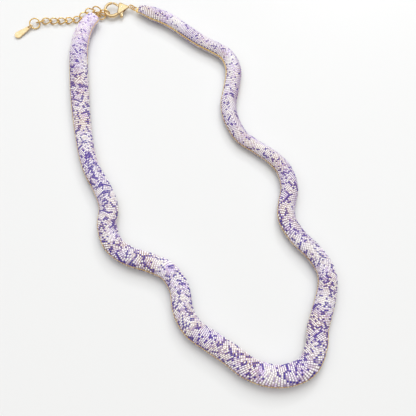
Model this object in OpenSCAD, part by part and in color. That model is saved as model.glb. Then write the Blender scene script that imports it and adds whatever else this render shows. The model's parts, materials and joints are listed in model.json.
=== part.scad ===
// Snake necklace laid out on a flat surface: a beaded mesh tube in a wavy open loop,
// a lobster clasp on its right end and an extender chain with a teardrop tag on its left end.
// Millimetres. +Z is up, the surface is z = 0 and the origin is under the middle of the box.

/* [Mesh tube] */
// How full the tube is, as a factor on the widths of the section table
tube_fullness = 1; // [0.95:0.01:1.03]
// Number of flat sides round the tube
tube_sides = 16; // [12:4:16]
// Distance between rings along the tube
ring_step = 4.6; // [4:0.2:6]

/* [Extender chain] */
// Outer length of a link
link_l = 5.56; // [5.5:0.02:5.6]
// Outer width of a link
link_w = 3.9; // [3.7:0.1:4]
// Wire diameter of a link
link_wire = 0.66; // [0.5:0.02:0.66]
// Twist of each end of a link, which lets the chain lie flat
link_twist = 52; // [48:1:56]
// Corners round a link
link_sides = 16; // [14:2:16]

/* [Rings] */
// Wire diameter of the two rings that join the tube to its chain
ring_wire = 0.6; // [0.5:0.02:0.6]
// Wire diameter of the jump ring and the tube's end loops
fine_wire = 0.5; // [0.44:0.02:0.52]
// Outer diameter of the tag ring
tag_ring_d = 5.66; // [5.6:0.02:5.7]

/* [Lobster clasp] */
// Radius of the claw, to the middle of its wire
claw_r = 3.5; // [3.4:0.05:3.55]
// Wire diameter of the claw
claw_wire = 1.3; // [1.1:0.05:1.3]
// Wire diameter of the sprung gate
gate_wire = 1; // [0.8:0.05:1]
// Distance from the claw's centre to the eye's centre
clasp_l = 9.5; // [9.45:0.05:9.55]
// Diameter of the pivot pin
pin_d = 0.8; // [0.7:0.05:0.8]

/* [Teardrop tag] */
// Length of the tag
tag_l = 8.8; // [8.6:0.1:8.9]
// Width of the tag at its round end
tag_w = 3.5; // [3:0.1:3.6]
// Thickness of the tag
tag_t = 0.9; // [0.8:0.05:0.95]

/* [Hidden] */

gold = [0.86, 0.67, 0.34];
lavender = [0.74, 0.68, 0.84];

// Middle of the tube on the floor plane, from its right end to its left end
route = [
    [-14.5, 90.2], [-11, 89], [-7, 87.2], [-2, 85], [3, 81.8], [9.8, 76.5], [16.4, 71.5],
    [24.2, 67], [29.5, 62.8], [32.3, 55], [31.2, 45], [29.8, 37], [30.8, 29], [35.2, 20],
    [42.2, 14.4], [49.8, 8.8], [54.8, 2.6], [57, -6], [55.4, -15], [55.5, -22], [60, -30],
    [66.5, -37], [71.2, -45], [71.6, -52.5], [69.5, -61], [66.6, -70], [65.5, -78], [61.5, -86],
    [54, -89.7], [45.5, -90], [37, -87], [29.5, -81.5], [20.5, -75.5], [13.6, -70.4],
    [9.4, -63], [7.5, -53], [2.5, -45.5], [-6, -41.5], [-15, -38.5], [-22, -33], [-25, -24.5],
    [-24.8, -15.5], [-28, -7], [-33, 2], [-36, 10.5], [-38.2, 20.5], [-40, 31.5], [-41.5, 43],
    [-42.6, 55], [-43.2, 66], [-42, 75.5], [-39.6, 81.2], [-35.9, 85.7]
];

// Section of the tube along its length
// Columns: distance from the right end, width, height, height of the underside over the floor
sections = [
    [0, 4.4, 3.2, 1.4],
    [3, 6, 4, 1],
    [7, 7.5, 5, 0.4],
    [12, 7.6, 5.6, 0],
    [20, 7.2, 5.6, 0],
    [46, 6.9, 5.4, 0],
    [60, 7.8, 5.6, 0],
    [78, 7.8, 5.6, 0],
    [95, 7.1, 5.4, 0],
    [107, 6.6, 5.2, 0],
    [130, 8.1, 5.8, 0],
    [165, 8.3, 6, 0],
    [176, 8.5, 6.2, 0],
    [195, 9.4, 6.4, 0],
    [222, 9.9, 6.6, 0],
    [245, 10, 6.6, 0],
    [270, 9.5, 6.4, 0],
    [300, 8.9, 6.2, 0],
    [340, 9.1, 6.2, 0],
    [372, 8.1, 5.8, 0],
    [385, 8.1, 5.8, 0],
    [410, 9.2, 6, 0],
    [435, 9, 6.2, 0],
    [443, 8.7, 6, 0.2],
    [449, 8.1, 5.2, 0.9],
    [454, 7.2, 4.2, 1.6]
];
// Both ends close in over this distance, the left one to a blunt round end
cap_l = 2.4;
cap_start = 0.9;
cap_end = 0.5;

// Where each link of the chain lies
// Columns: middle, roll about its length, pitch, heading, twist
chain = [
    [[-31.9, 88.6, 2], 68, 7, -8, 0],
    [[-35.6, 89.7, 2.75], 1, 2, -27, link_twist],
    [[-39.1, 89.4, 2.35], -4, 1, 13, link_twist],
    [[-42.2, 87.5, 1.75], 0, -8, 33, link_twist],
    [[-45.4, 85.5, 1.23], 0, -6, 23, link_twist],
    [[-49.2, 84.8, 1.08], 0, 0, 9, link_twist],
    [[-53, 84.5, 1.07], 0, 0, 4, link_twist],
    [[-56.8, 84.4, 1.07], 0, 0, 1, link_twist],
    [[-60.7, 84.4, 1.1], 0, 0, 3, link_twist]
];
small_link_at = [[-63.9, 83.8, 1.5], -50, 0, 19, 0];
small_link_size = [4.8, 3.5];
end_ring_at = [[-36.1, 88.2, 1.3], -38, 0, -35, 0];
joining_ring_at = [[-33.5, 87.4, 1.1], 4, 0, -40, 0];
tag_ring_at = [[-66.6, 82.6, 1.55], 26, 0, 40, 0];
tag_bail_at = [[-68.66, 80.88, 1.35], 90, 0, 37, 0];
jump_ring_at = [[-17.8, 91.3, 2.5], 75, 0, -30, 0];
end_ring_size = [4.6, 3];
joining_ring_d = 4;
jump_ring_d = 2.5;
bail_d = 2;
bail_wire = 0.44;

// The clasp lies almost flat, with its far side a little raised
// Its own frame has the claw's centre at the origin and the eye along +X
clasp_at = [[-28.2, 90.2, 2.4], 8, 0, 11, 0];
claw_back_angle = 181;
claw_end_angle = 308;
eye_d = 1.9;
eye_wire = 0.56;
// The shoulder is drawn over three balls, two beside the claw and one at the neck
shoulder_top = [3.9, 2];
shoulder_top_r = 1.1;
shoulder_low = [2.9, -2.55];
shoulder_low_r = 1;
neck = [8, 0];
neck_r = 0.7;
// A slot in the shoulder takes the lever: a deep half below the pivot, a short half above it
slot_h = 1.2;
slot_low_from = 3.3;
slot_top_from = 2;
slot_to = 6.7;
slot_deep = 6;
slot_lap = 0.01;
// The lever turns on the pin, from the tip of its gate to its knob
pivot = [5, 0.2];
pivot_r = 0.85;
pin_l = 2;
pin_clearance = 0.05;
lever_t = 0.9;
gate_root_angle = 36;
nose_angle = 76.5;
tip_gap = 0.22;
// Both arcs run on past the nose by this angle before they are cut there
arc_spare = 15;
gate_reach = norm(claw_r * [cos(nose_angle), sin(nose_angle)] - pivot);
knob_at = [4.05, -4.45];
knob_r = 0.65;
arm_r = 0.6;
arm_tip_r = 0.3;

// The two end loops, with the crimped stems that hold them in the tube
loop_right_at = [[-16.6, 90.6, 2.5], 0, 0, -28, 0];
loop_right_d = 1.9;
crimp_l = 3;
crimp_w = 2.7;
crimp_t = 0.9;
loop_left_at = [[-36.35, 86.85, 2.2], 90, 0, 54, 0];
loop_left_d = 1.6;
stem_l = 2.4;
stem_d = 0.4;

// The tag rests on its wide end, and the bail holds its narrow end up
tag_at = [[-69.46, 80.28, 0.88], 0, 6, 217, 0];
tag_hole_d = 0.86;
tag_narrow_d = 1.5;
tag_bevel = 0.25;

// Smooth curve through a list of points, as fine steps
curve_steps = 6;
function before(p, i) = i == 0 ? 2 * p[0] - p[1] : p[i - 1];
function after(p, i) = i + 2 < len(p) ? p[i + 2] : 2 * p[i + 1] - p[i];
function spline(a, b, c, d, t) =
    b + t / 2 * ((c - a) + t * ((2 * a - 5 * b + 4 * c - d) + t * (3 * b - a - 3 * c + d)));
function curve(p) = [
    for (i = [0:len(p) - 2])
        for (k = [0:curve_steps - 1])
            spline(before(p, i), p[i], p[i + 1], after(p, i), k / curve_steps),
    p[len(p) - 1]
];
fine = curve(route);
run = [for (i = 0, s = 0; i < len(fine); s = s + norm(fine[min(i + 1, len(fine) - 1)] - fine[i]), i = i + 1) s];
tube_l = run[len(run) - 1];
run_x = [for (i = [0:len(fine) - 1]) [run[i], fine[i][0]]];
run_y = [for (i = [0:len(fine) - 1]) [run[i], fine[i][1]]];
function on_route(s) = [lookup(s, run_x), lookup(s, run_y)];
function heading(s) = let (d = on_route(s + 0.6) - on_route(s - 0.6)) d / norm(d);
function column(k) = [for (row = sections) [row[0], row[k]]];
widths = column(1);
heights = column(2);
lifts = column(3);
function closing(d, start) = d >= cap_l ? 1 : start + (1 - start) * sqrt(1 - pow(1 - d / cap_l, 2));
function end_factor(s) = closing(s, cap_start) * closing(tube_l - s, cap_end);

// One ring of the tube: an oval with a flat strip underneath
function ring(s) =
    let (
        at = on_route(s),
        t = heading(s),
        f = end_factor(s),
        w = lookup(s, widths) * tube_fullness * f,
        h = lookup(s, heights) * f,
        low = lookup(s, lifts) + lookup(s, heights) * (1 - f) / 2,
        corner = cos(180 / tube_sides)
    )
    [for (k = [0:tube_sides - 1])
        let (
            a = 360 * (k + 0.5) / tube_sides,
            side = w / 2 * cos(a) / corner,
            z = low + h / 2 * (1 + sin(a) / corner)
        )
        [at[0] - t[1] * side, at[1] + t[0] * side, z]];

function sweep_faces(rings, n) = concat(
    [[for (k = [0:n - 1]) k]],
    [for (i = [0:rings - 2]) for (k = [0:n - 1]) let (m = (k + 1) % n)
        [i * n + k, (i + 1) * n + k, (i + 1) * n + m, i * n + m]],
    [[for (k = [n - 1:-1:0]) (rings - 1) * n + k]]
);

// A closed wire on an oval, twisted along its length
function oval(l, w, wire, twist, a) =
    let (x = (l - wire) / 2 * cos(a), y = (w - wire) / 2 * sin(a), psi = -twist * cos(a))
    [x, y * cos(psi), y * sin(psi)];
module wire_oval(l, w, wire, twist, sides) {
    n = 6;
    points = [for (i = [0:sides - 1])
        let (
            a = 360 * i / sides,
            c = oval(l, w, wire, twist, a),
            t = oval(l, w, wire, twist, a + 2) - oval(l, w, wire, twist, a - 2),
            u = t / norm(t),
            psi = -twist * cos(a),
            up = [0, -sin(psi), cos(psi)],
            side = cross(u, up) / norm(cross(u, up)),
            top = cross(side, u)
        )
        for (k = [0:n - 1]) c + wire / 2 * (cos(60 * k) * side + sin(60 * k) * top)];
    faces = [for (i = [0:sides - 1]) for (k = [0:n - 1])
        let (j = (i + 1) % sides, m = (k + 1) % n)
        each [[i * n + k, i * n + m, j * n + m], [i * n + k, j * n + m, j * n + k]]];
    polyhedron(points, faces, convexity = 4);
}

module place(row) translate(row[0]) rotate([row[1], row[2], row[3]]) children();
module torus(d, wire) rotate_extrude($fn = 32) translate([d / 2, 0]) circle(d = wire, $fn = 16);
module arc(r, wire, from, to)
    rotate([0, 0, from]) rotate_extrude(angle = to - from, $fn = 64) translate([r, 0]) circle(d = wire, $fn = 24);

module snake_tube() {
    middle = [for (s = [cap_l * 2:ring_step:tube_l - cap_l * 2]) s];
    cap = [0, 0.15, 0.5, 1, 1.5];
    stations = concat([for (c = cap) c * cap_l], middle, [for (i = [len(cap) - 1:-1:0]) tube_l - cap[i] * cap_l]);
    points = [for (s = stations) for (p = ring(s)) p];
    color(lavender) polyhedron(points, sweep_faces(len(stations), tube_sides), convexity = 10);
}

module end_loop_right() color(gold) place(loop_right_at) {
    torus(loop_right_d, fine_wire);
    translate([loop_right_d / 2 + fine_wire / 4, -crimp_w / 2, -crimp_t / 2]) cube([crimp_l, crimp_w, crimp_t]);
}

module jump_ring() color(gold) place(jump_ring_at) torus(jump_ring_d, fine_wire);

// Round rod or disc about the clasp's pivot, centred on its middle plane
module at_pivot(h, r, sides) translate([pivot[0], pivot[1], -h / 2]) cylinder(h = h, r = r, $fn = sides);

module clasp_ball(at, r) translate([at[0], at[1], 0]) sphere(r = r, $fn = 24);

// The nose side of the claw stops just short of the gate's sweep
module clasp_body() color(gold) place(clasp_at) {
    difference() {
        arc(claw_r, claw_wire, nose_angle - arc_spare, claw_back_angle + 1);
        at_pivot(2 * claw_wire, gate_reach + tip_gap, 96);
    }
    arc(claw_r, claw_wire, claw_back_angle - 1, claw_end_angle);
    difference() {
        hull() {
            clasp_ball(shoulder_top, shoulder_top_r);
            clasp_ball(shoulder_low, shoulder_low_r);
            clasp_ball(neck, neck_r);
        }
        translate([slot_low_from, -slot_deep, -slot_h / 2]) cube([slot_to - slot_low_from, slot_deep, slot_h]);
        translate([slot_top_from, -slot_lap, -slot_h / 2]) cube([slot_to - slot_top_from, slot_deep, slot_h]);
        at_pivot(2 * pin_l, pin_d / 2, 32);
    }
    translate([clasp_l, 0, 0]) torus(eye_d, eye_wire);
}

module lever_plate(a, ra, b, rb) hull() {
    translate([a[0], a[1], -lever_t / 2]) cylinder(h = lever_t, r = ra, $fn = 24);
    translate([b[0], b[1], -lever_t / 2]) cylinder(h = lever_t, r = rb, $fn = 24);
}

module clasp_lever() color(gold) place(clasp_at) {
    intersection() {
        arc(claw_r, gate_wire, gate_root_angle, nose_angle + arc_spare);
        at_pivot(2 * gate_wire, gate_reach, 96);
    }
    difference() {
        union() {
            lever_plate(claw_r * [cos(gate_root_angle), sin(gate_root_angle)], gate_wire / 2, pivot, pivot_r);
            lever_plate(pivot, arm_r, knob_at, arm_tip_r);
            clasp_ball(knob_at, knob_r);
        }
        at_pivot(2 * pin_l, pin_d / 2 + pin_clearance, 32);
    }
}

module clasp_pin() color(gold) place(clasp_at) at_pivot(pin_l, pin_d / 2, 32);

module end_loop_left() color(gold) place(loop_left_at) {
    torus(loop_left_d, fine_wire);
    translate([0, loop_left_d / 2, 0]) rotate([0, -90, 0]) cylinder(h = stem_l, d = stem_d, $fn = 16);
}

module end_ring() color(gold) place(end_ring_at)
    wire_oval(end_ring_size[0] + ring_wire, end_ring_size[1] + ring_wire, ring_wire, 0, link_sides);

module joining_ring() color(gold) place(joining_ring_at) torus(joining_ring_d, ring_wire);

module chain_link(i) color(gold) place(chain[i]) wire_oval(link_l, link_w, link_wire, chain[i][4], link_sides);

module small_link() color(gold) place(small_link_at)
    wire_oval(small_link_size[0], small_link_size[1], ring_wire, 0, link_sides);

module tag_ring() color(gold) place(tag_ring_at) torus(tag_ring_d - link_wire, link_wire);

module tag_bail() color(gold) place(tag_bail_at) torus(bail_d, bail_wire);

module teardrop_tag() {
    wide = tag_w / 2;
    narrow = tag_narrow_d / 2;
    reach = tag_l - wide - narrow;
    color(gold) place(tag_at) difference() {
        hull() {
            cylinder(h = tag_t, r = narrow - tag_bevel, $fn = 24);
            translate([0, 0, tag_bevel]) cylinder(h = tag_t - 2 * tag_bevel, r = narrow, $fn = 24);
            translate([reach, 0, 0]) cylinder(h = tag_t, r = wide - tag_bevel, $fn = 32);
            translate([reach, 0, tag_bevel]) cylinder(h = tag_t - 2 * tag_bevel, r = wide, $fn = 32);
        }
        translate([0, 0, -1]) cylinder(h = tag_t + 2, d = tag_hole_d, $fn = 24);
    }
}

snake_tube();
end_loop_right();
jump_ring();
clasp_body();
clasp_lever();
clasp_pin();
end_loop_left();
end_ring();
joining_ring();
chain_link(0);  // chain_link_1
chain_link(1);  // chain_link_2
chain_link(2);  // chain_link_3
chain_link(3);  // chain_link_4
chain_link(4);  // chain_link_5
chain_link(5);  // chain_link_6
chain_link(6);  // chain_link_7
chain_link(7);  // chain_link_8
chain_link(8);  // chain_link_9
small_link();
tag_ring();
tag_bail();
teardrop_tag();
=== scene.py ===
# %% [markdown]
# # Snake necklace: its looks
# The packed solids are the fixed frame, and this notebook dresses them. The plain tube gets a
# skin of small printed beads with a gold cord down each side. The links, rings, clasp and tag
# get smooth polished metal. Shapes are worked out in millimetres and saved in metres.

# %% Frame
import json
import math
import bpy
import bmesh
import numpy as np
from mathutils import Euler, Matrix, Vector, noise

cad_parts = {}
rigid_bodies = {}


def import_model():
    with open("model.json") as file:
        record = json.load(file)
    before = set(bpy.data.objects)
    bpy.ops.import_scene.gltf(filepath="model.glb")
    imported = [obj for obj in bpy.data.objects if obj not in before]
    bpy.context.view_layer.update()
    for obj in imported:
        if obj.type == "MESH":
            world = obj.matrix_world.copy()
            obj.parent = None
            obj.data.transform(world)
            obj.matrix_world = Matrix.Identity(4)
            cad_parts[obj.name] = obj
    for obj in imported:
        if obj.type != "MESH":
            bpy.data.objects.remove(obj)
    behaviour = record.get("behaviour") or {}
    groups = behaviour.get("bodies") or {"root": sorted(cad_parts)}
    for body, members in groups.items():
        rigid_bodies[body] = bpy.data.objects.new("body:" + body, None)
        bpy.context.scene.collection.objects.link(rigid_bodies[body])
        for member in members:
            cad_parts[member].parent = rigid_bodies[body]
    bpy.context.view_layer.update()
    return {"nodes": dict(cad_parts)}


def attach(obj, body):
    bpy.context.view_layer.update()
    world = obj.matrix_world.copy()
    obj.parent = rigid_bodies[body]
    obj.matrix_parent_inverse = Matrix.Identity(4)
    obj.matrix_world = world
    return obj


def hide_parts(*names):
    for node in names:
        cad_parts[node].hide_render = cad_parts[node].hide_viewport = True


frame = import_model()
MM = 0.001
print("solids in the frame:", len(frame["nodes"]))

# %% [markdown]
# ## Camera
# A photographer of laid-out jewellery stands over the table and leans back a little. A steep
# camera from the near side does the same, and a long lens keeps the loop from looking stretched.

# %% Camera
AIM = Vector((20, -15, 0)) * MM
ELEVATION = math.radians(70)
DISTANCE = 318.2 * MM
LENS = 60.6
SENSOR = 36
NEAR_CLIP = 10 * MM

camera = bpy.data.objects.new("camera", bpy.data.cameras.new("camera"))
camera.data.lens = LENS
camera.data.sensor_width = SENSOR
camera.data.clip_start = NEAR_CLIP
camera.location = AIM + DISTANCE * Vector((0, -math.cos(ELEVATION), math.sin(ELEVATION)))
camera.rotation_euler = (math.pi / 2 - ELEVATION, 0, 0)
bpy.context.collection.objects.link(camera)
bpy.context.scene.camera = camera
bpy.context.scene.view_settings.view_transform = "Standard"
print("camera distance: %.0f mm" % (DISTANCE / MM))

# %% [markdown]
# ## Shader sums
# A material is a net of small nodes. Writing it as sums and products of Python values is easier
# to read than wiring, so `Link` stands for one output of a node and knows how to add and
# multiply, and `Net` makes every node in one place.

# %% Shader sums
class Link:
    def __init__(self, net, socket):
        self.net = net
        self.socket = socket

    def __add__(self, other):
        return self.net.sum("ADD", self, other)

    def __sub__(self, other):
        return self.net.sum("SUBTRACT", self, other)

    def __rsub__(self, other):
        return self.net.sum("SUBTRACT", other, self)

    def __mul__(self, other):
        return self.net.sum("MULTIPLY", self, other)

    def between(self, low, high):
        """0 at low, 1 at high, and clamped outside."""
        return self.net.sum("MULTIPLY", self - low, 1 / (high - low), use_clamp=True)

    __radd__ = __add__
    __rmul__ = __mul__


class Net:
    def __init__(self, tree):
        self.tree = tree

    def feed(self, socket, value):
        if isinstance(value, Link):
            self.tree.links.new(value.socket, socket)
        else:
            socket.default_value = value

    def node(self, kind, sockets, output=0, **settings):
        made = self.tree.nodes.new(kind)
        for key, value in settings.items():
            setattr(made, key, value)
        for key, value in sockets.items():
            self.feed(made.inputs[key], value)
        return Link(self, made.outputs[output])

    def sum(self, operation, a, b, use_clamp=False):
        return self.node("ShaderNodeMath", {0: a, 1: b}, operation=operation, use_clamp=use_clamp)

    def mix(self, factor, a, b):
        return self.node("ShaderNodeMix", {0: factor, 6: a, 7: b}, 2, data_type="RGBA")

    def noise(self, scale):
        spot = self.node("ShaderNodeTexCoord", {}, "Object")
        return self.node("ShaderNodeTexNoise", {"Vector": spot, "Scale": scale}, "Fac")

    def bump(self, height, strength, distance):
        sockets = {"Height": height, "Strength": strength, "Distance": distance}
        return self.node("ShaderNodeBump", sockets, "Normal")


print("sums for shaders:", [name for name in vars(Net) if not name.startswith("_")])

# %% [markdown]
# ## Materials and tints
# Every surface here starts from the same shader. What is the same all over is set straight on
# its sockets, and what changes over the surface comes from a function of its own. Tints are
# written in steps of 0 to 255, as on a screen, and are turned into linear light.

# %% Materials and tints
def material(name, build, **constants):
    """A surface whose constants are set on its sockets, and whose changing values come from build."""
    made = bpy.data.materials.new(name)
    made.use_nodes = True
    net = Net(made.node_tree)
    surface = made.node_tree.nodes["Principled BSDF"]
    for key, value in constants.items():
        surface.inputs[key.replace("_", " ")].default_value = value
    for key, value in build(net).items():
        net.feed(surface.inputs[key], value)
    return made


def tint(red, green, blue):
    """A colour in steps of 0 to 255 as the linear values that shaders work with."""
    return tuple(((c / 255 + 0.055) / 1.055) ** 2.4 for c in (red, green, blue)) + (1.0,)


print("grey 128 is", round(tint(128, 128, 128)[0], 3), "in linear light")

# %% [markdown]
# ## Gold
# The metal is polished gold plating. Plating is never one even colour: it is a little redder
# where it is thin, and polishing leaves hair-fine marks. Two scales of noise give both, the
# coarse one to the colour and the fine one to the roughness and the bump. The castings are the
# brightest, the wire is a warmer gold, and the small beads of the cords have a soft lustre.

# %% Gold
def gold_plating(pale, deep, roughness):
    def build(net):
        thin = net.noise(700.0).between(0.35, 0.7)
        marks = net.noise(9000.0)
        return {
            "Base Color": net.mix(thin, pale, deep),
            "Roughness": marks * 0.1 + roughness,
            "Normal": net.bump(marks, 0.1, 0.02 * MM),
        }
    return build


casting_plating = gold_plating(tint(240, 218, 178), tint(228, 196, 138), 0.08)
wire_plating = gold_plating(tint(246, 216, 150), tint(230, 188, 112), 0.16)
cord_plating = gold_plating(tint(255, 232, 140), tint(255, 212, 108), 0.3)
polished_gold = material(
    "polished_gold", casting_plating, Metallic=1.0, Coat_Weight=0.3, Coat_Roughness=0.12,
)
wire_gold = material("wire_gold", wire_plating, Metallic=1.0)
cord_gold = material("cord_gold", cord_plating, Metallic=0.4)
print("gold:", polished_gold.name, wire_gold.name, cord_gold.name)

# %% [markdown]
# ## Printed beads and the net under them
# The print is baked into enamel on each bead, so each bead has one colour with a glassy coat.
# That colour is worked out per bead further down and travels with the mesh as an attribute.
# The net between the beads is dyed by the same print, darker, with tan threads in it.

# %% Printed beads and the net under them
PRINT_LAYER = "print_colour"


def printed_colour(net):
    return net.node("ShaderNodeAttribute", {}, "Color", attribute_name=PRINT_LAYER)


def enamel(net):
    speck = net.noise(4500.0).between(0.3, 0.8)
    return {
        "Base Color": net.mix(speck * 0.06, printed_colour(net), tint(255, 252, 248)),
        "Roughness": speck * 0.12 + 0.22,
        "Normal": net.bump(net.noise(6500.0), 0.15, 0.04 * MM),
    }


def threads(net):
    grain = net.noise(3500.0).between(0.3, 0.7)
    return {
        "Base Color": net.mix(grain * 0.25, printed_colour(net), tint(176, 138, 104)),
        "Roughness": grain * 0.2 + 0.45,
        "Normal": net.bump(grain, 0.3, 0.06 * MM),
    }


bead_enamel = material(
    "bead_enamel", enamel, Coat_Weight=0.3, Coat_Roughness=0.08, Specular_IOR_Level=0.25,
)
net_threads = material("net_threads", threads, Metallic=0.2)
print("materials:", len(bpy.data.materials))

# %% [markdown]
# ## From a bmesh to a piece
# Every piece is modelled in its own simple frame, in millimetres, with the bmesh operators. It
# is then turned and moved to its place inside the mesh, so that the object itself stays at the
# origin, unturned. Normals are recalculated because a spin can leave a shape inside out.

# %% From a bmesh to a piece
def place(at, roll=0, pitch=0, heading=0):
    turn = Euler((math.radians(roll), math.radians(pitch), math.radians(heading)))
    return Matrix.Translation(at) @ turn.to_matrix().to_4x4()


def keep(name, mesh, surface, body="necklace"):
    mesh.materials.append(surface)
    mesh.polygons.foreach_set("use_smooth", [True] * len(mesh.polygons))
    made = bpy.data.objects.new(name, mesh)
    bpy.context.collection.objects.link(made)
    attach(made, body)
    return made


def metal_piece(name, bm, where, node, surface=polished_gold, body="necklace"):
    bmesh.ops.transform(bm, matrix=Matrix.Scale(MM, 4) @ where, verts=bm.verts)
    bmesh.ops.recalc_face_normals(bm, faces=bm.faces)
    mesh = bpy.data.meshes.new(name)
    bm.to_mesh(mesh)
    bm.free()
    made = keep(name, mesh, surface, body)
    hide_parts(node)
    return made


def wire_piece(node, bm, where):
    metal_piece("smooth_" + node, bm, where, node, wire_gold)


# %% [markdown]
# ## Round wire
# Jump rings, the claw of a clasp and its gate are all round wire bent about a centre. A circle
# that stands on the X axis and is spun about Z gives each of them, as a whole ring or an arc.

# %% Round wire
def spun(radius, wire, start=0, sweep=360, steps=48, sides=12):
    """A round wire spun about Z, from an angle over a sweep."""
    bm = bmesh.new()
    upright = Matrix.Translation((radius, 0, 0)) @ Matrix.Rotation(math.pi / 2, 4, "X")
    turned = Matrix.Rotation(math.radians(start), 4, "Z") @ upright
    bmesh.ops.create_circle(bm, segments=sides, radius=wire / 2, matrix=turned)
    bmesh.ops.spin(
        bm, geom=bm.verts[:] + bm.edges[:], axis=(0, 0, 1), cent=(0, 0, 0),
        angle=math.radians(sweep), steps=steps, use_merge=sweep == 360,
    )
    return bm


trial = spun(1, 0.5)
print("points in a whole ring:", len(trial.verts))
trial.free()

# %% [markdown]
# ## Links of the chain
# An extender chain is made of oval links, each twisted along its length so that the next link
# can lie flat in it. A spun ring is the start for these too: each of its points is carried from
# the circle to the twisted oval, and the wire stays round because only its middle line is bent.

# %% Links of the chain
START_R = 10
LITTLE_TURN = 0.03
LINK_L = 5.56
LINK_W = 3.9
LINK_WIRE = 0.66
LINK_TWIST = 52


def lean_at(twist, turn):
    return -math.radians(twist) * math.cos(turn)


def oval_point(length, width, twist, turn):
    lean = lean_at(twist, turn)
    across = width / 2 * math.sin(turn)
    return Vector((length / 2 * math.cos(turn), across * math.cos(lean), across * math.sin(lean)))


def oval_ring(length, width, wire, twist=0):
    """Outer length and width, as a jeweller measures a link."""
    def middle(turn):
        return oval_point(length - wire, width - wire, twist, turn)

    bm = spun(START_R, wire, steps=40, sides=10)
    for vert in bm.verts:
        turn = math.atan2(vert.co.y, vert.co.x)
        out = math.hypot(vert.co.x, vert.co.y) - START_R
        lean = lean_at(twist, turn)
        ahead = middle(turn + LITTLE_TURN) - middle(turn - LITTLE_TURN)
        side = ahead.cross(Vector((0, -math.sin(lean), math.cos(lean)))).normalized()
        top = side.cross(ahead).normalized()
        vert.co = middle(turn) + side * out + top * vert.co.z
    return bm


# Middle, roll about the length, pitch, heading, twist
CHAIN = [
    ((-31.9, 88.6, 2), 68, 7, -8, 0),
    ((-35.6, 89.7, 2.75), 1, 2, -27, LINK_TWIST),
    ((-39.1, 89.4, 2.35), -4, 1, 13, LINK_TWIST),
    ((-42.2, 87.5, 1.75), 0, -8, 33, LINK_TWIST),
    ((-45.4, 85.5, 1.23), 0, -6, 23, LINK_TWIST),
    ((-49.2, 84.8, 1.08), 0, 0, 9, LINK_TWIST),
    ((-53, 84.5, 1.07), 0, 0, 4, LINK_TWIST),
    ((-56.8, 84.4, 1.07), 0, 0, 1, LINK_TWIST),
    ((-60.7, 84.4, 1.1), 0, 0, 3, LINK_TWIST),
]
for i, (at, roll, pitch, heading, twist) in enumerate(CHAIN):
    link = oval_ring(LINK_L, LINK_W, LINK_WIRE, twist)
    wire_piece("chain_link_%d" % (i + 1), link, place(at, roll, pitch, heading))
print("links:", len(CHAIN))

# %% [markdown]
# ## Rings
# The chain hangs on an oval ring and a round one, and ends in a small oval link with the large
# round ring and the bail of the tag. A jump ring joins the clasp to the tube. None of them is
# twisted, so two short tables and two loops make them all.

# %% Rings
RING_WIRE = 0.6
FINE_WIRE = 0.5
BAIL_WIRE = 0.44

# Node, outer length, outer width, middle, roll, pitch, heading
OVAL_RINGS = [
    ("small_link", 4.8, 3.5, (-63.9, 83.8, 1.5), -50, 0, 19),
    ("end_ring", 5.2, 3.6, (-36.1, 88.2, 1.3), -38, 0, -35),
]
# Node, radius to the middle of the wire, wire, middle, roll, pitch, heading
ROUND_RINGS = [
    ("joining_ring", 2, RING_WIRE, (-33.5, 87.4, 1.1), 4, 0, -40),
    ("jump_ring", 1.25, FINE_WIRE, (-17.8, 91.3, 2.5), 75, 0, -30),
    ("tag_ring", 2.5, LINK_WIRE, (-66.6, 82.6, 1.55), 26, 0, 40),
    ("tag_bail", 1, BAIL_WIRE, (-68.66, 80.88, 1.35), 90, 0, 37),
]
for node, length, width, at, roll, pitch, heading in OVAL_RINGS:
    wire_piece(node, oval_ring(length, width, RING_WIRE), place(at, roll, pitch, heading))
for node, radius, wire, at, roll, pitch, heading in ROUND_RINGS:
    wire_piece(node, spun(radius, wire), place(at, roll, pitch, heading))
print("rings:", len(OVAL_RINGS) + len(ROUND_RINGS))

# %% [markdown]
# ## Castings
# The clasp, its lever and the tag are cast, so their forms run into each other with soft
# corners. Joining shells with booleans would leave hard seams. Here the simple shells only
# overlap, a voxel remesh melts them into one skin, and a smooth pass rounds it. What was
# drilled or milled after casting is cut last and stays crisp.

# %% Castings
def scratch_object(name, bm):
    mesh = bpy.data.meshes.new(name)
    bmesh.ops.recalc_face_normals(bm, faces=bm.faces)
    bm.to_mesh(mesh)
    bm.free()
    made = bpy.data.objects.new(name, mesh)
    bpy.context.collection.objects.link(made)
    return made


def cast(bm, voxel, rounds, cutter):
    raw = scratch_object("raw_casting", bm)
    tool = scratch_object("tool", cutter)
    melt = raw.modifiers.new("melt", "REMESH")
    melt.mode = "VOXEL"
    melt.voxel_size = voxel
    soften = raw.modifiers.new("soften", "SMOOTH")
    soften.factor = 0.5
    soften.iterations = rounds
    cut = raw.modifiers.new("cut", "BOOLEAN")
    cut.operation = "DIFFERENCE"
    cut.object = tool
    result = bmesh.new()
    result.from_mesh(raw.evaluated_get(bpy.context.evaluated_depsgraph_get()).to_mesh())
    bpy.data.objects.remove(raw)
    bpy.data.objects.remove(tool)
    return result


def join(*parts):
    whole = bmesh.new()
    for part in parts:
        mesh = bpy.data.meshes.new("part")
        part.to_mesh(mesh)
        part.free()
        whole.from_mesh(mesh)
        bpy.data.meshes.remove(mesh)
    return whole


print("meshes so far:", len(bpy.data.meshes))

# %% [markdown]
# ## Shells for the castings
# A model maker builds such small forms up from balls, rods and blocks of wax. The tight skin
# over two or three of them gives the tapering forms between, and an eased edge takes the
# sharpness off what isn't melted.

# %% Shells for the castings
def ball(at, radius):
    bm = bmesh.new()
    bmesh.ops.create_uvsphere(
        bm, u_segments=24, v_segments=16, radius=radius, matrix=Matrix.Translation(at),
    )
    return bm


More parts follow.
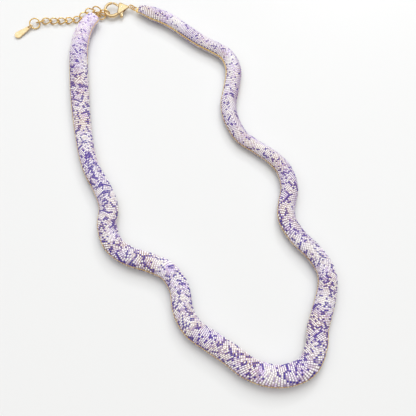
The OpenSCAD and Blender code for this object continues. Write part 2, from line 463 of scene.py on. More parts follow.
def post(at, radius, height, sides=32):
    bm = bmesh.new()
    bmesh.ops.create_cone(
        bm, cap_ends=True, segments=sides, radius1=radius, radius2=radius, depth=height,
        matrix=Matrix.Translation(at),
    )
    return bm


def block(low, high):
    bm = bmesh.new()
    low = Vector(low)
    high = Vector(high)
    bmesh.ops.create_cube(bm, size=1)
    bmesh.ops.scale(bm, vec=high - low, verts=bm.verts)
    bmesh.ops.translate(bm, vec=(low + high) / 2, verts=bm.verts)
    return bm


def hull(*parts):
    """The tight skin over some shells."""
    bm = join(*parts)
    made = bmesh.ops.convex_hull(bm, input=bm.verts)
    spare = set(made["geom_interior"] + made["geom_unused"])
    bmesh.ops.delete(bm, geom=[v for v in spare if isinstance(v, bmesh.types.BMVert)], context="VERTS")
    return bm


def ease(bm, edges, offset, segments):
    bmesh.ops.bevel(
        bm, geom=edges, offset=offset, segments=segments, profile=0.5, affect="EDGES", material=-1,
    )


def close_holes(bm):
    bmesh.ops.holes_fill(bm, edges=[edge for edge in bm.edges if edge.is_boundary])


trial = hull(ball((0, 0, 0), 1), ball((2, 0, 0), 1))
print("faces of a skin over two balls:", len(trial.faces))
trial.free()

# %% [markdown]
# ## Lobster clasp
# The claw is a wire that is thick at the belly and rounded at the nose, so its section is
# scaled by a short table of angles after the spin. The shoulder is a skin over three balls with
# a milled slot, the eye is a small ring, and the lever turns in the slot on a riveted pin.

# %% Lobster clasp
CLASP_PLACE = place((-28.2, 90.2, 2.4), 8, 0, 11)
CLAW_R = 3.5
CLAW_WIRE = 1.3
CLAW_FROM = 78.5
CLAW_SWEEP = 229.5
EYE_AT = (9.5, 0, 0)
EYE_R = 0.95
EYE_WIRE = 0.6
# The slot is deep below the pivot, and above it runs further back towards the claw
SLOT_HALF = 0.6
SLOT_DEEP = 6
SLOT_TO = 6.7
SLOT_LOW_FROM = 3.3
SLOT_TOP_FROM = 2
SLOT_LAP = 0.01
# Middle and radius of each ball: two beside the claw, one at the neck
SHOULDER = [((4.5, 1.9, 0), 1.1), ((3.1, -2.5, 0), 0.95), ((8, 0, 0), 0.7)]
# Angle in degrees, factor on the wire
CLAW_SWELL = [(78, 0.7), (79.5, 1), (84, 1.1), (185, 1.1), (230, 1.3), (275, 1.5), (308, 1.5)]


def claw_arc(wire, start, sweep, steps, sides, swell):
    """Wire on the claw's circle with closed ends, its section scaled by a table of angles."""
    bm = spun(CLAW_R, wire, start, sweep, steps, sides)
    angles, factors = zip(*swell)
    for vert in bm.verts:
        turn = math.degrees(math.atan2(vert.co.y, vert.co.x)) % 360
        middle = Vector((vert.co.x, vert.co.y, 0)).normalized() * CLAW_R
        vert.co = middle + (vert.co - middle) * float(np.interp(turn, angles, factors))
    close_holes(bm)
    return bm


claw = claw_arc(CLAW_WIRE, CLAW_FROM, CLAW_SWEEP, steps=76, sides=20, swell=CLAW_SWELL)
shoulder = hull(*[ball(at, radius) for at, radius in SHOULDER])
eye = spun(EYE_R, EYE_WIRE)
bmesh.ops.translate(eye, vec=EYE_AT, verts=eye.verts)
slot_low = block((SLOT_LOW_FROM, -SLOT_DEEP, -SLOT_HALF), (SLOT_TO, 0, SLOT_HALF))
slot_top = block((SLOT_TOP_FROM, -SLOT_LAP, -SLOT_HALF), (SLOT_TO, SLOT_DEEP, SLOT_HALF))
clasp_body = cast(join(claw, shoulder, eye), voxel=0.11, rounds=2, cutter=join(slot_low, slot_top))
print("faces of the clasp's body:", len(clasp_body.faces))
metal_piece("cast_clasp_body", clasp_body, CLASP_PLACE, "clasp_body")

# %% [markdown]
# ## Lever and pin
# The lever is one casting too: the gate that closes the claw, the flat part that sits in the
# slot and the knob for the thumbnail. The pin is a short rivet with eased rims.

# %% Lever and pin
PIVOT = (5, 0.2, 0)
PIN_R = 0.4
PIN_L = 2
BORE_R = 0.45
BORE_L = 4
LEVER_T = 0.84
HUB_R = 0.8
ARM_R = 0.6
TIP_R = 0.5
KNOB_AT = (4.05, -4.45, 0)
KNOB_R = 0.78
GATE_WIRE = 1
GATE_FROM = 34
GATE_SWEEP = 42.6
ROOT_ANGLE = math.radians(36)
ROOT_R = 0.5
# Angle in degrees, factor on the wire
GATE_SWELL = [(34, 1.35), (55, 1.2), (74, 1.1), (75.5, 1), (77, 0.7)]

gate = claw_arc(GATE_WIRE, GATE_FROM, GATE_SWEEP, steps=24, sides=16, swell=GATE_SWELL)
root = (CLAW_R * math.cos(ROOT_ANGLE), CLAW_R * math.sin(ROOT_ANGLE), 0)
web = hull(post(root, ROOT_R, LEVER_T), post(PIVOT, HUB_R, LEVER_T))
arm = hull(post(PIVOT, ARM_R, LEVER_T), post(KNOB_AT, TIP_R, LEVER_T))
knob = ball(KNOB_AT, KNOB_R)
lever = cast(join(gate, web, arm, knob), voxel=0.1, rounds=2, cutter=post(PIVOT, BORE_R, BORE_L))
print("faces of the lever:", len(lever.faces))
metal_piece("cast_clasp_lever", lever, CLASP_PLACE, "clasp_lever", body="lever")

rivet = post(PIVOT, PIN_R, PIN_L)
rims = [edge for edge in rivet.edges if abs(edge.verts[0].co.z - edge.verts[1].co.z) < PIN_L / 2]
ease(rivet, rims, offset=0.1, segments=2)
metal_piece("rivet_clasp_pin", rivet, CLASP_PLACE, "clasp_pin")

# %% [markdown]
# ## Tag
# The tag is a flat drop stamped from sheet: two discs under one skin, melted and then drilled.
# Melting rounds both rims at once. It rests on its wide end, and the bail holds up the other.

# %% Tag
TAG_T = 0.9
NARROW_END = (0, 0, TAG_T / 2)
WIDE_END = (6.3, 0, TAG_T / 2)
NARROW_R = 0.75
WIDE_R = 1.75
TAG_HOLE_R = 0.43
TAG_HOLE_L = 3

tag_blank = hull(post(NARROW_END, NARROW_R, TAG_T), post(WIDE_END, WIDE_R, TAG_T, sides=48))
tag = cast(tag_blank, voxel=0.1, rounds=3, cutter=post(NARROW_END, TAG_HOLE_R, TAG_HOLE_L))
print("faces of the tag:", len(tag.faces))
metal_piece("stamped_tag", tag, place((-69.46, 80.28, 0.88), 0, 6, 217), "teardrop_tag")

# %% [markdown]
# ## End loops
# A small ring stands out of each end of the tube. The right one sits on a flat plate and the
# left one on a thin stem, and both are crimped into the tube. The tube hides where they are
# held, so the shells are only joined and need no melting.

# %% End loops
LOOP_RIGHT_R = 0.95
CRIMP_FROM = 1.08
CRIMP_TO = 4.07
CRIMP_W = 2.7
CRIMP_T = 0.9
LOOP_LEFT_R = 0.8
STEM_R = 0.2
STEM_L = 2.4

crimp = block((CRIMP_FROM, -CRIMP_W / 2, -CRIMP_T / 2), (CRIMP_TO, CRIMP_W / 2, CRIMP_T / 2))
ease(crimp, crimp.edges[:], offset=0.2, segments=3)
loop_right = join(spun(LOOP_RIGHT_R, FINE_WIRE), crimp)
wire_piece("end_loop_right", loop_right, place((-16.6, 90.6, 2.5), 0, 0, -28))

stem = post((0, 0, 0), STEM_R, STEM_L, sides=16)
bmesh.ops.rotate(stem, matrix=Matrix.Rotation(math.pi / 2, 3, "Y"), verts=stem.verts)
bmesh.ops.translate(stem, vec=(-STEM_L / 2, LOOP_LEFT_R, 0), verts=stem.verts)
loop_left = join(spun(LOOP_LEFT_R, FINE_WIRE), stem)
wire_piece("end_loop_left", loop_left, place((-36.35, 86.85, 2.2), 90, 0, 54))
print("end loops made, with wire of", FINE_WIRE, "mm")

# %% [markdown]
# ## Run of the tube
# The tube lies in a long wavy loop, from the clasp's end down the right side and up the left. Its
# route and its sections are the solid's own, and a smooth curve runs through the route's points.

# %% Run of the tube
ROUTE = np.array([
    [-14.5, 90.2], [-11, 89], [-7, 87.2], [-2, 85], [3, 81.8], [9.8, 76.5], [16.4, 71.5],
    [24.2, 67], [29.5, 62.8], [32.3, 55], [31.2, 45], [29.8, 37], [30.8, 29], [35.2, 20],
    [42.2, 14.4], [49.8, 8.8], [54.8, 2.6], [57, -6], [55.4, -15], [55.5, -22], [60, -30],
    [66.5, -37], [71.2, -45], [71.6, -52.5], [69.5, -61], [66.6, -70], [65.5, -78], [61.5, -86],
    [54, -89.7], [45.5, -90], [37, -87], [29.5, -81.5], [20.5, -75.5], [13.6, -70.4],
    [9.4, -63], [7.5, -53], [2.5, -45.5], [-6, -41.5], [-15, -38.5], [-22, -33], [-25, -24.5],
    [-24.8, -15.5], [-28, -7], [-33, 2], [-36, 10.5], [-38.2, 20.5], [-40, 31.5], [-41.5, 43],
    [-42.6, 55], [-43.2, 66], [-42, 75.5], [-39.6, 81.2], [-35.9, 85.7],
])


def smooth_route(points, steps=12):
    ends = np.vstack([2 * points[0] - points[1], points, 2 * points[-1] - points[-2]])
    t = np.arange(steps)[:, None] / steps
    parts = []
    for i in range(len(points) - 1):
        a, b, c, d = ends[i:i + 4]
        curve = t * ((2 * a - 5 * b + 4 * c - d) + t * (3 * b - a - 3 * c + d))
        parts.append(b + t / 2 * (c - a + curve))
    return np.vstack(parts + [points[-1:]])


LINE = smooth_route(ROUTE)
RUN = np.concatenate([[0], np.cumsum(np.hypot(*np.diff(LINE, axis=0).T))])
LENGTH = RUN[-1]
print("tube length: %.1f mm" % LENGTH)

# %% [markdown]
# ## Sections of the tube
# A soft tube flattens where it lies, so its section is an oval, lower than it is wide. A short
# table gives its sizes at some distances, and they are evened out between. Near both ends the
# oval closes in along a rounded curve.

# %% Sections of the tube
# Distance from the right end, width, height, height of the underside
SECTIONS = np.array([
    [0, 4.4, 3.2, 1.4], [3, 6, 4, 1], [7, 7.5, 5, 0.4], [12, 7.6, 5.6, 0], [20, 7.2, 5.6, 0],
    [46, 6.9, 5.4, 0], [60, 7.8, 5.6, 0], [78, 7.8, 5.6, 0], [95, 7.1, 5.4, 0],
    [107, 6.6, 5.2, 0], [130, 8.1, 5.8, 0], [165, 8.3, 6, 0], [176, 8.5, 6.2, 0],
    [195, 9.4, 6.4, 0], [222, 9.9, 6.6, 0], [245, 10, 6.6, 0], [270, 9.5, 6.4, 0],
    [300, 8.9, 6.2, 0], [340, 9.1, 6.2, 0], [372, 8.1, 5.8, 0], [385, 8.1, 5.8, 0],
    [410, 9.2, 6, 0], [435, 9, 6.2, 0], [443, 8.7, 6, 0.2], [449, 8.1, 5.2, 0.9],
    [454, 7.2, 4.2, 1.6],
])
WIDTH, HEIGHT, LIFT = 1, 2, 3
CAP = 2.4
CAP_START = 0.9
CAP_END = 0.5


def along_tube(s, table, column=1):
    """A column of a table whose first column is the distance from the right end."""
    table = np.array(table)
    return np.interp(s, table[:, 0], table[:, column])


def section(s, column):
    """A column of the sections, evened out over two millimetres each way."""
    total = 0
    for shift in (-2, -1, 0, 1, 2):
        total = total + along_tube(s + shift, SECTIONS, column)
    return total / 5


def closing(d, start):
    d = np.clip(d / CAP, 0, 1)
    return start + (1 - start) * np.sqrt(1 - (1 - d) ** 2)


print("width half way along: %.1f mm" % section(LENGTH / 2, WIDTH))

# %% [markdown]
# ## Skin of the tube
# `skin` turns a distance along the tube and an angle round it into a point. Angle 0 is the outer
# side of the loop, a quarter turn is the top and half a turn is the inner side. All that lies on
# the tube is placed by this one function, so nothing can come off it.

# %% Skin of the tube
STRIDE = 0.8


def on_line(s):
    return np.stack([np.interp(s, RUN, LINE[:, 0]), np.interp(s, RUN, LINE[:, 1])], axis=-1)


def unit(vectors):
    return vectors / np.linalg.norm(vectors, axis=-1, keepdims=True)


def skin(s, angle, inset):
    """Points of the tube at distances s and angles round it, and the normals there."""
    at = on_line(s)
    ahead = unit(on_line(s + STRIDE) - on_line(s - STRIDE))
    full = closing(s, CAP_START) * closing(LENGTH - s, CAP_END)
    half_w = section(s, WIDTH) / 2 * full - inset
    half_h = section(s, HEIGHT) / 2 * full - inset
    side = half_w * np.cos(angle)
    height = section(s, LIFT) + section(s, HEIGHT) / 2 + half_h * np.sin(angle)
    points = np.stack([at[:, 0] - ahead[:, 1] * side, at[:, 1] + ahead[:, 0] * side, height], axis=-1)
    across = np.cos(angle) / half_w
    normals = np.stack([-ahead[:, 1] * across, ahead[:, 0] * across, np.sin(angle) / half_h], axis=-1)
    return points, unit(normals)


middle_s = np.array([LENGTH / 2])
print("top of the tube half way along: %.2f mm" % skin(middle_s, np.array([np.pi / 2]), 0)[0][0, 2])

# %% [markdown]
# ## Even steps round the tube
# Beads are the same size all round an oval tube, so equal steps of angle won't do. A table of
# the length of skin up to each angle, read backwards, gives the angle for any share of it.

# %% Even steps round the tube
FLATNESS = 0.69
TABLE_STEPS = 720

ANGLES = np.linspace(0, 2 * np.pi, TABLE_STEPS + 1)
arc = np.hypot(np.diff(np.cos(ANGLES)), np.diff(FLATNESS * np.sin(ANGLES)))
arc_run = np.concatenate([[0], np.cumsum(arc)])
SHARES = arc_run / arc_run[-1]


def angle_at(share):
    """Angle for a share of the way round, so that equal shares are equal lengths of skin."""
    return np.interp(share % 1, SHARES, ANGLES)


quarter = np.degrees(angle_at(np.array([0.125, 0.25])))
print("an eighth and a quarter of the way round: %.0f and %.0f degrees" % tuple(quarter))

# %% [markdown]
# ## Cells of the print
# The skin carries a python print, and the cells of such a print come from scattered points. A
# place belongs to the nearest point, and it is on an outline where the two nearest are about as
# far away. The skin counts as a strip here, as long as the tube and `AROUND` wide.

# %% Cells of the print
AROUND = 24.0
CELL = 3.7
CELL_COLUMNS = 5
JITTER = 0.42
SEEDS_A_ROW = 64
FIRST_SEED = 5


def nearest_cells(s, v):
    """Distances to the nearest and second nearest cell points, and a number for the cell."""
    near = np.full(len(s), np.inf)
    second = np.full(len(s), np.inf)
    kind = np.zeros(len(s))
    for i in range(-1, int(LENGTH / CELL) + 2):
        for j in range(-1, CELL_COLUMNS + 1):
            draw = np.random.default_rng((i + 2) * SEEDS_A_ROW + j % CELL_COLUMNS + FIRST_SEED)
            jitter = draw.uniform(-JITTER, JITTER, 2)
            cell_s = (i + 0.5 + jitter[0]) * CELL
            cell_v = (j + 0.5 + (i % 2) * 0.5 + jitter[1]) * AROUND / CELL_COLUMNS
            d = np.hypot(s - cell_s, v - cell_v)
            kind = np.where(d < near, draw.uniform(), kind)
            second = np.where(d < near, near, np.minimum(second, d))
            near = np.minimum(near, d)
    return near, second, kind


print("cells along the tube:", int(LENGTH / CELL), "and round it:", CELL_COLUMNS)

# %% [markdown]
# ## Dyes and ripples
# A few dyes make all the colours of the print, laid over each other more or less strongly. How
# strongly varies in soft patches, which a smooth noise gives. It is worked out here, for whole
# lists of places at once, because the beads need one colour each and not a pattern.

# %% Dyes and ripples
def dye(red, green, blue):
    return np.array(tint(red, green, blue)[:3])


WHITE = dye(255, 254, 253)
CREAM = dye(252, 248, 248)
PALE = dye(248, 246, 255)
LAVENDER = dye(228, 212, 250)
VIOLET = dye(40, 0, 150)
PLUM = dye(140, 116, 184)
TAN = dye(172, 142, 138)


def ripple(s, v, field):
    """Smooth noise at places on the skin. A field is the size of its patches in mm, and a seed."""
    size, seed = field
    places = zip(s / size, v / size)
    return np.array([noise.noise(Vector((a, b, seed))) for a, b in places])


def blend(colours, other, share):
    return colours + (other - colours) * np.clip(share, 0, 1)[:, None]


print("lavender in linear light:", [round(float(c), 2) for c in LAVENDER])

# %% [markdown]
# ## Print
# The print has pale cells with broken violet outlines on a lavender ground. Noise bends and
# breaks the outlines and washes the ground. Both sides of the tube are washed towards lavender
# as painted shade. The outlines are thin near both ends and broad on the bottom and the left of
# the loop, so a short table gives their width along the tube.

# %% Print
# Noise fields: size of their patches in mm, and a seed
BEND_ALONG = (3.0, 1.7)
BEND_ROUND = (3.0, 8.3)
LAVENDER_WASH = (6.0, 2.2)
CREAM_WASH = (5.0, 6.6)
BREAKS = (2.0, 4.1)
BEND = 1.3
BROKEN_BELOW = -0.04
# Share of the cells with a white heart, how far in the heart starts and over what it fades in
WHITE_HEARTS = 0.6
HEART_FROM = 0.7
HEART_FADE = 0.9
# Distance from the right end, width of the outlines
OUTLINES = [
    (60, 0.24), (110, 0.45), (150, 0.62), (200, 0.78), (330, 0.78),
    (345, 0.95), (405, 0.95), (415, 0.6), (432, 0.5), (440, 0.2),
]
# The left end is more lavender from here on, over this length
LEFT_END = 430
LEFT_FADE = 25


def print_with_shade_at(s, v):
    """Ground colours with painted shade on the tube's sides, at distance s along and v round the skin,
    where an outline runs, and its width.
    """
    bent_s = s + BEND * ripple(s, v, BEND_ALONG)
    bent_v = v + BEND * ripple(s, v, BEND_ROUND)
    near, second, kind = nearest_cells(bent_s, bent_v)
    edge = second - near
    colours = blend(np.tile(PALE, (len(s), 1)), LAVENDER, 0.4 + 1.4 * ripple(s, v, LAVENDER_WASH))
    colours = blend(colours, WHITE, (edge - HEART_FROM) / HEART_FADE * (kind < WHITE_HEARTS))
    colours = blend(colours, CREAM, 1.6 * ripple(s, v, CREAM_WASH) - 0.1)
    # Painted shade: both sides of the tube, at the outer and inner edge of the loop, are washed towards
    # lavender, darker than the top. The left end is more lavender in its print.
    side = np.abs(v / AROUND % 0.5 - 0.25) * 4
    left = np.clip((s - LEFT_END) / LEFT_FADE, 0, 0.5)
    colours = blend(colours, LAVENDER, 0.6 * side ** 2 + left)
    width = along_tube(s, OUTLINES)
    inked = (edge < width) & (ripple(s, v, BREAKS) > BROKEN_BELOW)
    return colours, inked, width


sample_s = np.linspace(10, LENGTH - 10, 2000)
sample_v = np.tile(np.arange(8) * AROUND / 8, 250)
print("share of the print on an outline: %.2f" % print_with_shade_at(sample_s, sample_v)[1].mean())

# %% [markdown]
# ## Rows of beads
# The beads lie in rows round the tube, each row half a bead on from the last. The rows lean into
# a shallow V, first one way and then the other along the tube, and run square across at its
# ends. The whole skin is also rolled a little, so that the cords lie as they do on the real one.

# %% Rows of beads
BEADS_ROUND = 26
PITCH = 0.88
ROW_END = 0.6
BEAD_END = 0.3
CORD_ROOM = 0.6
LEAN = 0.9
LEAN_RUN = 80
LEAN_START = 0.8
SQUARE_END = 12
V_DEPTH = 18
# Distance from the right end, share of a turn that the skin is rolled by
ROLL = [
    (0, -0.03), (20, -0.04), (60, -0.04), (85, -0.02), (185, -0.02),
    (205, 0.03), (420, 0.03), (435, -0.03), (LENGTH, -0.04),
]


def row_lean(s):
    ends = np.clip(np.minimum(s, LENGTH - s) / SQUARE_END, 0, 1)
    return LEAN * np.sin(2 * np.pi * s / LEAN_RUN + LEAN_START) * ends


def bead_place(row, share, inset):
    """Points and normals for beads of a row, counted from the outer cord."""
    off_top = np.abs(share % 0.5 - 0.25) * AROUND
    s = row + row_lean(row) * off_top * (1 - off_top / V_DEPTH)
    s = np.clip(s, BEAD_END, LENGTH - BEAD_END)
    return skin(s, angle_at(share + along_tube(s, ROLL)), inset)


row_count = int((LENGTH - 2 * ROW_END) / PITCH)
rows = ROW_END + np.arange(row_count) * (LENGTH - 2 * ROW_END) / (row_count - 1)
half_step = np.repeat(np.arange(row_count) % 2, BEADS_ROUND) * 0.5
bead_row = np.repeat(rows, BEADS_ROUND)
bead_share = (np.tile(np.arange(BEADS_ROUND), row_count) + half_step) / BEADS_ROUND
off_cord = np.abs((bead_share + 0.25) % 0.5 - 0.25) > CORD_ROOM / BEADS_ROUND
bead_row = bead_row[off_cord]
bead_share = bead_share[off_cord]
print("rows:", row_count, "beads:", len(bead_row))

# %% [markdown]
# ## One bead, many times
# A bead is half an oval ball, flat underneath where it meets the net. Thousands of beads share
# that one small shape. Objects or modifiers for each of them would be slow, so numpy places
# copies of its points, each with its own three half sizes, in a few large meshes.

# %% One bead, many times
FLOOR_GAP = 0.02


def half_ball(sides=8, rings=4):
    bm = bmesh.new()
    bmesh.ops.create_uvsphere(bm, u_segments=sides, v_segments=rings, radius=1)
    whole = bm.verts[:] + bm.edges[:] + bm.faces[:]
    bmesh.ops.bisect_plane(bm, geom=whole, plane_co=(0, 0, 0), plane_no=(0, 0, 1), clear_inner=True)
    close_holes(bm)
    bmesh.ops.recalc_face_normals(bm, faces=bm.faces)
    bm.verts.index_update()
    points = np.array([vert.co for vert in bm.verts])
    faces = [[vert.index for vert in face.verts] for face in bm.faces]
    bm.free()
    return points, faces


def scatter(name, base, along, across, up, surface, shape, colours=None):
    """Copies of a shape at base points. The three half sizes are vectors, in mm."""
    points, faces = shape
    n = len(points)
    placed = base[:, None] + along[:, None] * points[:, 0:1] + across[:, None] * points[:, 1:2]
    placed = (placed + up[:, None] * points[:, 2:3]).reshape(-1, 3)
    placed[:, 2] = np.maximum(placed[:, 2], FLOOR_GAP)
    copies = [[i * n + v for v in face] for i in range(len(base)) for face in faces]
    mesh = bpy.data.meshes.new(name)
    mesh.from_pydata((placed * MM).tolist(), [], copies)
    if colours is not None:
        layer = mesh.color_attributes.new(PRINT_LAYER, "FLOAT_COLOR", "POINT")
        rgba = np.ones((len(placed), 4), dtype=np.float32)
        rgba[:, :3] = np.repeat(colours, n, axis=0)
        layer.data.foreach_set("color", rgba.ravel())
    return keep(name, mesh, surface)


BEAD = half_ball()
print("points in a bead:", len(BEAD[0]), "faces:", len(BEAD[1]))

# %% [markdown]
# ## Sizes of the beads
# Each bead runs a little into its neighbours in its row and leaves a dark line to the next row.
# Its sizes are measured from where its neighbours lie, so that beads on the inside of a bend are
# shorter than those on the outside.

# %% Sizes of the beads
SUNK = 0.24
BEAD_ACROSS = 0.54
BEAD_ALONG = 0.4

base, normal = bead_place(bead_row, bead_share, SUNK)
next_in_row, _ = bead_place(bead_row, bead_share + 0.5 / BEADS_ROUND, SUNK)
last_in_row, _ = bead_place(bead_row, bead_share - 0.5 / BEADS_ROUND, SUNK)
row_ahead, _ = bead_place(bead_row + 0.5 * PITCH, bead_share, SUNK)
row_behind, _ = bead_place(bead_row - 0.5 * PITCH, bead_share, SUNK)
across = (next_in_row - last_in_row) * BEAD_ACROSS
ahead = unit(np.cross(across, normal))
reach = ((row_ahead - row_behind) * ahead).sum(1, keepdims=True)
ahead = ahead * np.clip(np.abs(reach), 0.2, 1.4) * BEAD_ALONG
print("bead width: %.2f mm" % (2 * np.linalg.norm(across, axis=1).mean()))

# %% [markdown]
# ## Colours of the beads
# A bead takes the print's colour at its own place. As in real bead work, some beads are swapped:
# a few of an outline stay pale, stray violet ones turn up off it, and white, tan and plum beads
# are mixed in. The outer side of the right strand is darkened with plum as painted shade, and near
# the clasp a short row beside the inner cord has white and violet beads in turn.

# %% Colours of the beads
BEAD_SEED = 11
VIOLET_SHARE = 0.88
STRAY_SHARE = 0.06
WHITE_SHARE = 0.48
TAN_SHARE = 0.13
PLUM_SHARE = 0.08
# How far from the right end the outer side gets painted shade
OUTER_SHADE_TO = 165
# Distance from the right end, how busy the mixture of beads is
BUSY = [(0, 0.3), (120, 0.4), (180, 1)]
# Share round the tube and its reach, distance along it and its reach
STRIPED_ROW = (0.455, 0.02, 36, 14)
PLUM_PATCH = (0.12, 0.04, 66, 12)


def in_patch(share, share_reach, row, row_reach):
    return (np.abs(bead_share - share) < share_reach) & (np.abs(bead_row - row) < row_reach)


colours, inked, outline_width = print_with_shade_at(bead_row, bead_share * AROUND)
draws = np.random.default_rng(BEAD_SEED).uniform(size=(4, len(bead_row)))
violet_draw, mixed_draw, plum_draw, shade_draw = draws
busy = along_tube(bead_row, BUSY)
striped = in_patch(*STRIPED_ROW)
violet = (inked & (violet_draw < VIOLET_SHARE)) | (violet_draw > 1 - STRAY_SHARE * outline_width)
violet = np.where(striped, np.floor(bead_row / PITCH) % 2 == 0, violet)
# Painted shade: the outer side of the right strand, which the lamps light strongly, is darkened with
# plum.
outer_shade = np.clip(np.cos(2 * np.pi * bead_share), 0, 1) * (bead_row < OUTER_SHADE_TO)
# Dye, how strongly it takes, which beads take it; the plum on the outer side is painted shade
SWAPS = [
    (WHITE, 1, (mixed_draw < WHITE_SHARE) | striped),
    (TAN, 0.4, mixed_draw > 1 - TAN_SHARE * busy),
    (PLUM, 0.6, outer_shade ** 2),
    (PLUM, 0.4, in_patch(*PLUM_PATCH)),
    (PLUM, 0.8, plum_draw < PLUM_SHARE * busy),
    (VIOLET, 1, violet),
]
for colour, strength, chosen in SWAPS:
    colours = blend(colours, colour, strength * chosen)
colours = np.clip(colours * (0.95 + 0.1 * shade_draw)[:, None], 0, 1)
print("share of violet beads: %.2f" % violet.mean())

# %% [markdown]
# ## Beads
# The beads are made in three pieces, each a third of the tube, to keep each mesh light.

# %% Beads
THIRDS = 3

for part in range(THIRDS):
    chosen = (bead_row >= LENGTH * part / THIRDS) & (bead_row < LENGTH * (part + 1) / THIRDS)
    beads = scatter(
        "beads_%d" % (part + 1), base[chosen], ahead[chosen], across[chosen], normal[chosen] * SUNK,
        bead_enamel, BEAD, colours[chosen],
    )
    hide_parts("snake_tube")
print("beads made:", len(bead_row))

# %% [markdown]
# ## Gold cords
# A cord of small gold beads runs down each side. They overlap a little, as a strung cord does,
# and they are broader on the thin part of the tube, near the clasp.

# %% Gold cords
CORD_PITCH = 0.95
CORD_END = 0.9
CORD_SUNK = 0.36
CORD_ALONG = 0.52
# Distance from the right end, half the breadth of a gold bead
CORD_HALF = [(0, 0.36), (15, 0.46), (60, 0.46), (80, 0.32)]

cord_s = np.arange(CORD_END, LENGTH - CORD_END, CORD_PITCH)
cord_half = along_tube(cord_s, CORD_HALF)[:, None]
for side, share in (("outer", 0.0), ("inner", 0.5)):
    around = angle_at(share + along_tube(cord_s, ROLL))
    base, normal = skin(cord_s, around, CORD_SUNK)
    after, _ = skin(cord_s + CORD_PITCH / 2, around, CORD_SUNK)
    before, _ = skin(cord_s - CORD_PITCH / 2, around, CORD_SUNK)
    ahead = (after - before) * CORD_ALONG
    across = unit(np.cross(normal, ahead)) * cord_half
    cord = scatter(
        "gold_cord_" + side, base, ahead, across, normal * cord_half, cord_gold, half_ball(10, 6),
    )
    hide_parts("snake_tube")
print("beads in a cord:", len(cord_s))

# %% [markdown]
# ## Net
# The net is one closed sleeve just under the feet of the beads. A flat grid has the right
# topology already: it is rolled onto the skin, its two long sides are merged and its ends filled.

# %% Net
SLEEVE_ROUND = 44
SLEEVE_ALONG = 500
SLEEVE_SUNK = SUNK - 0.06
SLEEVE_GAP = 0.01
SEAM_GAP = 0.002
# The last column of the grid stops just short of a whole turn, which would count as none
NEARLY_ROUND = 0.999999

sleeve = bmesh.new()
bmesh.ops.create_grid(sleeve, x_segments=SLEEVE_ALONG, y_segments=SLEEVE_ROUND, size=1)
grid = (np.array([vert.co for vert in sleeve.verts]) + 1) / 2
grid_s = grid[:, 0] * LENGTH
grid_v = grid[:, 1] * AROUND
rolled, _ = skin(grid_s, angle_at(grid[:, 1] * NEARLY_ROUND), SLEEVE_SUNK)
rolled[:, 2] = np.maximum(rolled[:, 2], SLEEVE_GAP)
print("points in the net:", len(rolled))

# %% [markdown]
# ## Dye of the net
# Threads take the dye unevenly. Patches of plum and tan show where the print is faint, and
# towards the left end the net is lighter and more lavender, as the print there is.

# %% Dye of the net
TAN_PATCHES = (9.0, 3.3)
PRINT_PATCHES = (8.0, 5.5)
LAVENDER_FROM = 425
# Distance from the right end, lightness of the threads
LIGHTNESS = [(340, 0.84), (380, 0.94)]

dye_with_shade, inked, _ = print_with_shade_at(grid_s, grid_v)
thread = np.tile(PLUM, (len(grid_s), 1))
thread = blend(thread, TAN, 0.5 + 1.6 * ripple(grid_s, grid_v, TAN_PATCHES))
# The print's colours carry the painted shade on the sides of the tube.
thread = blend(thread, dye_with_shade * 0.8, 0.35 + 1.2 * ripple(grid_s, grid_v, PRINT_PATCHES))
thread = blend(thread, VIOLET, 0.5 * inked)
thread = thread * along_tube(grid_s, LIGHTNESS)[:, None]
thread = blend(thread, LAVENDER, (grid_s - LAVENDER_FROM) / 20 * 0.7)
layer = sleeve.verts.layers.float_color.new(PRINT_LAYER)
for vert, point, colour in zip(sleeve.verts, rolled, thread):
    vert.co = point
    vert[layer] = (*colour, 1.0)
bmesh.ops.remove_doubles(sleeve, verts=sleeve.verts, dist=SEAM_GAP)
close_holes(sleeve)
bmesh.ops.recalc_face_normals(sleeve, faces=sleeve.faces)
bmesh.ops.scale(sleeve, vec=(MM, MM, MM), verts=sleeve.verts)
sleeve_mesh = bpy.data.meshes.new("net")
sleeve.to_mesh(sleeve_mesh)
sleeve.free()
net_piece = keep("net", sleeve_mesh, net_threads)
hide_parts("snake_tube")
print("net faces:", len(sleeve_mesh.polygons))

# %% [markdown]
# ## Floor
# The necklace lies on pale card with a faint gloss, which is far larger than what is seen.

# %% Floor
FLOOR_HALF = 4


def card(net):
    tone = net.noise(4.0)
    return {
        "Base Color": net.mix(tone, tint(226, 228, 230), tint(228, 230, 231)),
        "Roughness": tone * 0.05 + 0.32,
        "Normal": net.bump(net.noise(1500.0), 0.02, 0.05 * MM),
    }


floor_shape = bmesh.new()
bmesh.ops.create_grid(floor_shape, x_segments=1, y_segments=1, size=FLOOR_HALF)
floor_mesh = bpy.data.meshes.new("floor")
floor_shape.to_mesh(floor_mesh)
floor_shape.free()
floor_mesh.materials.append(material("white_card", card))
floor = bpy.data.objects.new("floor", floor_mesh)
bpy.context.collection.objects.link(floor)
print("floor: %.0f m across" % (2 * FLOOR_HALF))

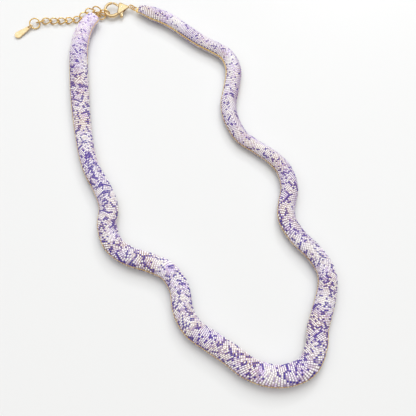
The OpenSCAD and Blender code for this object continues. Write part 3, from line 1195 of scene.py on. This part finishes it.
# %% [markdown]
# ## Lamps
# A large soft lamp stands on the far side, behind the clasp, and a small one beside it gives the
# tube's shadow its edge. Only the small one shows in the metal, where the large one would drown
# everything else.

# %% Lamps
def soft_lamp(name, at, size, power, mirrored):
    data = bpy.data.lights.new(name, "AREA")
    data.shape = "DISK"
    data.size = size
    data.energy = power
    lamp = bpy.data.objects.new(name, data)
    lamp.location = at
    lamp.rotation_euler = (-Vector(at)).to_track_quat("-Z", "Y").to_euler()
    lamp.visible_glossy = mirrored
    bpy.context.collection.objects.link(lamp)
    print(name, "lamp: %.1f W" % power)


soft_lamp("key", at=(0.1, 0.9, 1.3), size=1.2, power=9.8, mirrored=False)
soft_lamp("strip", at=(0.3, 0.85, 0.6), size=0.12, power=1.5, mirrored=True)

# %% [markdown]
# ## Surround
# The surround is bright overhead and duller towards the near side. The dark gap between the
# table and the bright ceiling of the studio is there for the gold: polished metal only looks
# like metal when it has dark as well as light to mirror, and on round wire the gap shows as a
# thin brown line.

# %% Surround
DULL_WALL = tint(160, 152, 146)
BRIGHT_CEILING = tint(251, 252, 251)
DARK_GAP = tint(86, 62, 38)
STRENGTH = 1.36

surround = bpy.data.worlds.new("surround")
surround.use_nodes = True
sky = Net(surround.node_tree)
toward = sky.node("ShaderNodeTexCoord", {}, "Generated")
height = sky.node("ShaderNodeSeparateXYZ", {"Vector": toward}, "Z")
north = sky.node("ShaderNodeSeparateXYZ", {"Vector": toward}, "Y")
glow = sky.mix((height * 0.8 + north * 0.45).between(0.15, 0.85), DULL_WALL, BRIGHT_CEILING)
gap = height.between(0.16, 0.22) - height.between(0.46, 0.54)
background = surround.node_tree.nodes["Background"]
sky.feed(background.inputs["Color"], sky.mix(gap * 0.95, glow, DARK_GAP))
sky.feed(background.inputs["Strength"], STRENGTH)
bpy.context.scene.world = surround
print("nodes in the surround:", len(surround.node_tree.nodes))

# %% [markdown]
